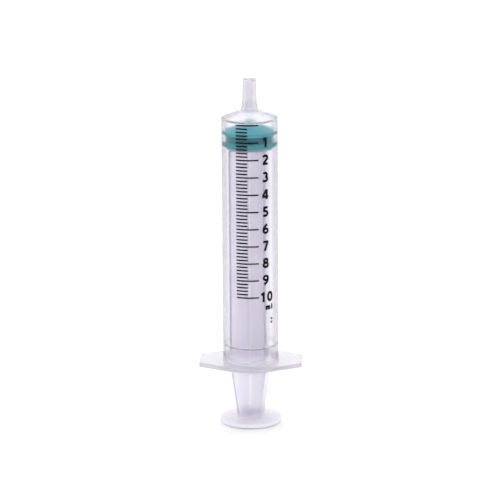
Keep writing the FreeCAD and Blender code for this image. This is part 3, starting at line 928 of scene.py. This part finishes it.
def stopper_profile(plunger, barrel):
    """Profile of the rubber stopper: the pocket for the snap head, then the rings and the cone.

    It runs from the pocket's ceiling down and out through the neck, and up the outside to the point.
    """
    seat = STOPPER_FOOT
    slope = math.tan(barrel.shoulder_slope)
    rear = seat + plunger.rear_ring
    groove = rear + plunger.groove
    front = groove + plunger.front_ring
    point = front + (plunger.ring_radius - plunger.point_radius) * slope
    gap = plunger.head_gap
    lip = seat + plunger.neck_length - gap
    rim = seat + plunger.neck_length + plunger.head_rim + gap
    nose = rim + plunger.head_nose
    crease, soft = FINE_CREASE, plunger.ring_round
    return rounded(
        [
            (0, nose, 0),
            (plunger.nose_radius + gap, nose, crease),
            (plunger.head_radius + gap, rim, crease),
            (plunger.head_radius + gap, lip, crease),
            (plunger.neck_radius + gap, lip, crease),
            (plunger.neck_radius + gap, seat, crease),
            (plunger.ring_radius, seat, soft),
            (plunger.ring_radius, rear, soft),
            (plunger.groove_radius, rear, soft),
            (plunger.groove_radius, groove, soft),
            (plunger.ring_radius, groove, soft),
            (plunger.ring_radius, front, soft),
            (plunger.point_radius, point, soft),
            (0, point, 0),
        ]
    )[1:-1]


class SYRINGE_OT_barrel(bpy.types.Operator):
    """Build the clear barrel with its finger flange and nozzle"""

    bl_idname = "syringe.barrel"
    bl_label = "Barrel"

    def execute(self, context):
        sizes = context.scene.syringe_barrel
        shell = skin(barrel_rings(sizes), closed=True)
        material = barrel_plastic(context.scene.syringe_finishes, sizes)
        piece = make_piece("barrel_moulding", [shell], material, "barrel")
        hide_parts("barrel")
        return {"FINISHED"}


class SYRINGE_OT_plunger(bpy.types.Operator):
    """Build the plunger rod with its thumb disc, ribs and snap head"""

    bl_idname = "syringe.plunger"
    bl_label = "Plunger Rod"

    def execute(self, context):
        shell = skin(plunger_rings(context.scene.syringe_plunger), closed=False)
        material = rod_plastic(context.scene.syringe_finishes)
        piece = make_piece("plunger_moulding", [shell], material, "plunger_rod")
        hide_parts("plunger_rod")
        return {"FINISHED"}


class SYRINGE_OT_stopper(bpy.types.Operator):
    """Build the rubber stopper with its two sealing rings"""

    bl_idname = "syringe.stopper"
    bl_label = "Stopper"

    def execute(self, context):
        scene = context.scene
        profile = stopper_profile(scene.syringe_plunger, scene.syringe_barrel)
        shell = skin(turned(profile), closed=False)
        material = stopper_rubber(scene.syringe_finishes)
        piece = make_piece("rubber_stopper", [shell], material, "stopper")
        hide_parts("stopper")
        return {"FINISHED"}


def bow(x, y, across, up, start, end):
    """Points on an ellipse about (x, y), between two angles in degrees counted from its right."""
    turns = np.radians(np.linspace(start, end, 33))
    return np.stack([x + across * np.cos(turns), y + up * np.sin(turns)], axis=1)


def straight(*points):
    return np.array(points, float)


# The middle lines of each figure's strokes, in shares of its height from its left edge and its foot
SIX = [bow(0.62, 0.32, 0.53, 0.59, 100, 180), bow(0.33, 0.30, 0.24, 0.21, 0, 360)]
FIGURES = {
    "0": [bow(0.33, 0.5, 0.24, 0.41, 0, 360)],
    "1": [straight((0.36, 0), (0.36, 1)), straight((0.38, 0.92), (0.10, 0.74))],
    "2": [
        np.concatenate([bow(0.31, 0.69, 0.23, 0.22, 165, -40), straight((0.10, 0.12))]),
        straight((0.04, 0.09), (0.61, 0.09)),
    ],
    "3": [bow(0.29, 0.72, 0.20, 0.19, 150, -90), bow(0.28, 0.31, 0.25, 0.22, 90, -150)],
    "4": [
        straight((0.46, 0), (0.46, 1)),
        straight((0.40, 0.94), (0.02, 0.33)),
        straight((-0.04, 0.27), (0.66, 0.27)),
    ],
    "5": [
        straight((0.12, 0.91), (0.57, 0.91)),
        straight((0.18, 0.95), (0.16, 0.48)),
        bow(0.27, 0.32, 0.27, 0.23, 125, -140),
    ],
    "6": SIX,
    "7": [straight((0.03, 0.91), (0.62, 0.91)), straight((0.56, 0.93), (0.22, 0))],
    "8": [bow(0.33, 0.73, 0.20, 0.18, 0, 360), bow(0.33, 0.30, 0.245, 0.21, 0, 360)],
    "9": [np.array([0.66, 1.0]) - line for line in SIX],
    "m": [
        straight((0.14, 0), (0.14, 0.76)),
        bow(0.325, 0.48, 0.185, 0.14, 180, 0),
        straight((0.51, 0.48), (0.51, 0)),
        bow(0.695, 0.48, 0.185, 0.14, 180, 0),
        straight((0.88, 0.48), (0.88, 0)),
    ],
    "l": [straight((1.38, 0), (1.38, 1))],
    ":": [straight((0.13, 0), (0.13, 0.36)), straight((0.13, 0.64), (0.13, 1))],
}


def inked_stroke(path, width, radius, ink):
    """Rings of one printed stroke: a four-cornered section carried along its path on the barrel.

    The path runs (round the barrel, up the axis) and is cut into even steps. The section reaches
    half the stroke's width to the left and right of the path's direction, and from the barrel's
    radius out by the ink's thickness. A length round the barrel is its turn times the radius.
    """
    runs = np.concatenate([[0], np.cumsum(np.linalg.norm(np.diff(path, axis=0), axis=1))])
    steps = math.ceil(runs[-1] / STROKE_STEP) + 1
    places = np.linspace(0, runs[-1], steps)
    line = np.stack([np.interp(places, runs, path[:, k]) for k in (0, 1)], axis=1)
    along = np.gradient(line, axis=0)
    along /= np.linalg.norm(along, axis=1, keepdims=True)
    left = np.stack([-along[:, 1], along[:, 0]], axis=1) * width / 2
    section = np.stack([line - left, line + left, line + left, line - left], axis=1)
    reach = np.array([radius, radius, radius + ink, radius + ink])
    turn = section[..., 0] / radius
    return np.stack([reach * np.sin(turn), -reach * np.cos(turn), section[..., 1]], axis=2)


class SYRINGE_OT_print(bpy.types.Operator):
    """Print the numbers and the unit beside the scale, and give the scale its ink"""

    bl_idname = "syringe.print"
    bl_label = "Printed Scale"

    def execute(self, context):
        scene = context.scene
        sizes = scene.syringe_print
        barrel = scene.syringe_barrel
        radius = barrel.bore_radius + barrel.wall
        last = sizes.zero_height - sizes.highest * sizes.step
        marks = []
        for number in range(1, sizes.highest + 1):
            foot = sizes.zero_height - number * sizes.step - sizes.number_height / 2
            lefts = [sizes.number_place]
            if number > 9:
                lefts = [sizes.ten_place, sizes.ten_place + sizes.figure_step]
            for figure, left in zip(str(number), lefts):
                marks.append((figure, sizes.number_height, sizes.number_stroke, left, foot))
        for letter in "ml":
            foot = last - sizes.unit_drop
            marks.append((letter, sizes.unit_height, sizes.unit_stroke, sizes.unit_place, foot))
        marks.append((":", sizes.dots_height, sizes.dots_stroke, sizes.dots_place, last - sizes.dots_drop))
        shells = []
        for figure, height, stroke, left, foot in marks:
            for line in FIGURES[figure]:
                path = line * height + [left, foot]
                rings = inked_stroke(path, stroke, radius, sizes.ink)
                shells.append(skin(rings, closed=False))
        ink = scale_ink(scene.syringe_finishes)
        make_piece("scale_numbers", shells, ink, "barrel", smooth=False)
        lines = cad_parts["printed_scale"]
        lines.data.materials.clear()
        lines.data.materials.append(ink)
        return {"FINISHED"}


class SYRINGE_OT_studio(bpy.types.Operator):
    """Lay the pale floor, light the studio softly and place the camera"""

    bl_idname = "syringe.studio"
    bl_label = "Studio"

    def execute(self, context):
        scene = context.scene
        sizes = scene.syringe_studio
        self.lay_floor(scene)
        self.light(scene, sizes)
        self.place_camera(scene, sizes)
        scene.view_settings.view_transform = "Standard"
        scene.cycles.max_bounces = 48
        scene.cycles.diffuse_bounces = 24
        scene.cycles.transmission_bounces = 24
        scene.cycles.glossy_bounces = 24
        return {"FINISHED"}

    def lay_floor(self, scene):
        """A round card, each ring of it a circle about the syringe.

        It rides the plunger rod, because the syringe stands on its thumb disc at every pose.
        """
        low = -scene.syringe_studio.floor_drop
        rings = turned(np.array([[radius, low] for radius in FLOOR_RADII]), FLOOR_COLUMNS)
        vertices = rings.reshape(-1, 3)
        quads = skin_faces(len(FLOOR_RADII), FLOOR_COLUMNS, closed=False)
        hub = list(range(FLOOR_COLUMNS))
        mesh = bpy.data.meshes.new("floor")
        mesh.from_pydata(vertices.tolist(), [], [hub] + quads[:, ::-1].tolist())
        mesh.materials.append(floor_board(scene.syringe_finishes))
        floor = bpy.data.objects.new("floor", mesh)
        scene.collection.objects.link(floor)
        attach(floor, "plunger_rod")

    def light(self, scene, sizes):
        """An even white sky, a little brighter beyond the syringe, and two soft boxes overhead."""
        world = bpy.data.worlds.new("soft_sky")
        world.use_nodes = True
        tree = world.node_tree
        tree.nodes.clear()
        output = add_node(tree, "ShaderNodeOutputWorld")
        towards = add_node(tree, "ShaderNodeTexCoord").outputs["Generated"]
        parts = add_node(tree, "ShaderNodeSeparateXYZ", inputs={"Vector": towards})
        strength = add_node(
            tree,
            "ShaderNodeMapRange",
            SMOOTH,
            {
                "Value": parts.outputs["Y"],
                **over(SKY_SPAN),
                "To Min": sizes.sky_before,
                "To Max": sizes.sky_behind,
            },
        )
        sky = add_node(
            tree,
            "ShaderNodeBackground",
            inputs={"Color": (1, 1, 1, 1), "Strength": strength.outputs["Result"]},
        )
        tree.links.new(sky.outputs["Background"], output.inputs["Surface"])
        scene.world = world
        for name, power, size, place in (
            ("near_soft_box", sizes.near_light, (0.4, 0.2), (0, 0.09, 0.35)),
            ("far_soft_box", sizes.far_light, (0.6, 1.0), (0, 0.8, 0.7)),
        ):
            lamp = bpy.data.lights.new(name, "AREA")
            lamp.shape = "RECTANGLE"
            lamp.size, lamp.size_y = size
            lamp.energy = power
            box = bpy.data.objects.new(name, lamp)
            box.location = place
            scene.collection.objects.link(box)

    def place_camera(self, scene, sizes):
        """The camera stands level at its distance and height, looks down by its pitch and rolls."""
        data = bpy.data.cameras.new("camera")
        data.sensor_width = 36
        data.lens = sizes.lens
        data.clip_start = 0.01
        data.clip_end = 20
        data.shift_x = -0.0005
        camera = bpy.data.objects.new("camera", data)
        turn = sizes.azimuth
        camera.location = (
            sizes.distance * math.sin(turn),
            -sizes.distance * math.cos(turn),
            sizes.height,
        )
        aim = Euler((math.pi / 2 - sizes.pitch, 0, turn)).to_matrix()
        roll = Euler((0, 0, sizes.roll)).to_matrix()
        camera.rotation_euler = (aim @ roll).to_euler()
        scene.collection.objects.link(camera)
        scene.camera = camera


class SYRINGE_PT_panel(bpy.types.Panel):
    """Lists the pieces of the syringe"""

    bl_idname = "SYRINGE_PT_panel"
    bl_label = "Slip Syringe"
    bl_space_type = "VIEW_3D"
    bl_region_type = "UI"
    bl_category = "Syringe"

    def draw(self, context):
        for operator in OPERATORS:
            self.layout.operator(operator.bl_idname)
        for name in PROPERTIES:
            box = self.layout.box()
            group = getattr(context.scene, name)
            for prop in group.bl_rna.properties:
                if not prop.is_readonly and prop.identifier != "name":
                    box.prop(group, prop.identifier)


PROPERTIES = {
    "syringe_barrel": BarrelSizes,
    "syringe_plunger": PlungerSizes,
    "syringe_print": PrintSizes,
    "syringe_finishes": Finishes,
    "syringe_studio": StudioSizes,
}
OPERATORS = (
    SYRINGE_OT_barrel,
    SYRINGE_OT_plunger,
    SYRINGE_OT_stopper,
    SYRINGE_OT_print,
    SYRINGE_OT_studio,
)


def register():
    for group in (*PROPERTIES.values(), *OPERATORS, SYRINGE_PT_panel):
        bpy.utils.register_class(group)
    for name, group in PROPERTIES.items():
        setattr(bpy.types.Scene, name, PointerProperty(type=group))


def unregister():
    for name in PROPERTIES:
        delattr(bpy.types.Scene, name)
    for group in (SYRINGE_PT_panel, *OPERATORS[::-1], *PROPERTIES.values()):
        bpy.utils.unregister_class(group)


def corners(box):
    return [[float(value) for value in corner] for corner in box]


def main():
    """Builds every piece in turn."""
    register()
    bpy.ops.syringe.barrel()
    bpy.ops.syringe.plunger()
    bpy.ops.syringe.stopper()
    bpy.ops.syringe.print()
    bpy.ops.syringe.studio()


if __name__ == "__main__":
    main()
